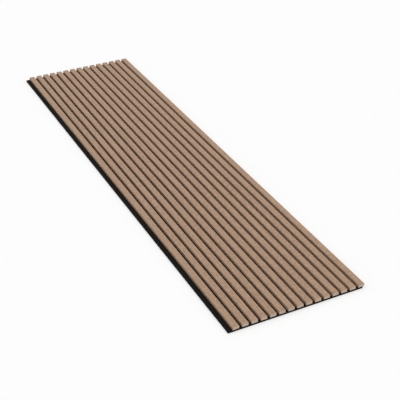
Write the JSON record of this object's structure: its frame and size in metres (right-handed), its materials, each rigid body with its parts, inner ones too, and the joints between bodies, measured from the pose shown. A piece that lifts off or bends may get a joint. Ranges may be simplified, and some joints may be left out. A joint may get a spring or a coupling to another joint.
{
  "type": "acoustic slat wall panel",
  "caption": "Long wall panel of veneered slats, evenly spaced on a black felt board that shows between them and soaks up sound; one felt edge stands out as a lip to join the next panel.",
  "frame": {"origin": "middle of the panel's overall box, on the back face of the felt", "axes": "+Z out of the veneered face; +Y along the slats, over the panel's length; +X across the slats, from the felt lip to the edge where a slat overhangs the felt"},
  "size_m": [0.607, 2.4, 0.022],
  "materials": {
    "veneer": "matte light brown wood veneer, straight grain along the slat",
    "core": "raw sawn medium-density fibreboard",
    "felt": "black pressed polyester felt",
    "staple": "zinc-plated flat wire"
  },
  "bodies": {
    "root": {"slat_core_01": "core", "slat_veneer_01": "veneer", "slat_core_02": "core", "slat_veneer_02": "veneer", "slat_core_03": "core", "slat_veneer_03": "veneer", "slat_core_04": "core", "slat_veneer_04": "veneer", "slat_core_05": "core", "slat_veneer_05": "veneer", "slat_core_06": "core", "slat_veneer_06": "veneer", "slat_core_07": "core", "slat_veneer_07": "veneer", "slat_core_08": "core", "slat_veneer_08": "veneer", "slat_core_09": "core", "slat_veneer_09": "veneer", "slat_core_10": "core", "slat_veneer_10": "veneer", "slat_core_11": "core", "slat_veneer_11": "veneer", "slat_core_12": "core", "slat_veneer_12": "veneer", "slat_core_13": "core", "slat_veneer_13": "veneer", "slat_core_14": "core", "slat_veneer_14": "veneer", "slat_core_15": "core", "slat_veneer_15": "veneer", "felt_backing": "felt", "back_staples": "staple"}
  },
  "joints": []
}
